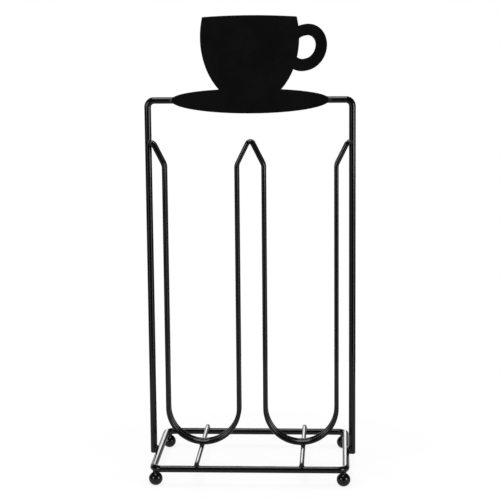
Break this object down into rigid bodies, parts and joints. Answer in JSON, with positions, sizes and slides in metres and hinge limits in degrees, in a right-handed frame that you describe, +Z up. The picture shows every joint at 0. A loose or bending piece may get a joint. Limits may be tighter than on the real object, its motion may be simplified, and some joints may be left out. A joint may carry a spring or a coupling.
{
  "type": "coffee capsule rack",
  "caption": "Counter-top coffee capsule rack of welded black wire: a ring base on ball feet, a tall arch, paired channel rails for capsule rims and a flat cup-and-saucer emblem on top.",
  "frame": {"origin": "middle of the base, on the counter that the ball feet stand on", "axes": "+Z up along the arch's legs, +X to the right of the cup-and-saucer emblem as seen from its front, -Y towards the emblem's front"},
  "size_m": [0.1584, 0.111, 0.3454],
  "materials": {
    "gloss_black_wire": "glossy black coating on round steel wire, with a faint orange peel",
    "gloss_black_ball": "glossy black coating on steel balls",
    "matte_black_sheet": "matte black powder coat on flat steel sheet",
    "coated_weld": "glossy black coating over uneven weld metal"
  },
  "bodies": {
    "root": {"base_ring": "gloss_black_wire", "foot_front_left": "gloss_black_ball", "foot_front_right": "gloss_black_ball", "foot_rear_left": "gloss_black_ball", "foot_rear_right": "gloss_black_ball", "left_cross_bar": "gloss_black_wire", "right_cross_bar": "gloss_black_wire", "arch": "gloss_black_wire", "front_rail": "gloss_black_wire", "rear_rail": "gloss_black_wire", "emblem_plate": "matte_black_sheet", "foot_welds": "coated_weld", "cross_bar_welds": "coated_weld", "rail_base_welds": "coated_weld", "rail_end_welds": "coated_weld", "arch_leg_welds": "coated_weld", "emblem_welds": "coated_weld"}
  },
  "joints": []
}
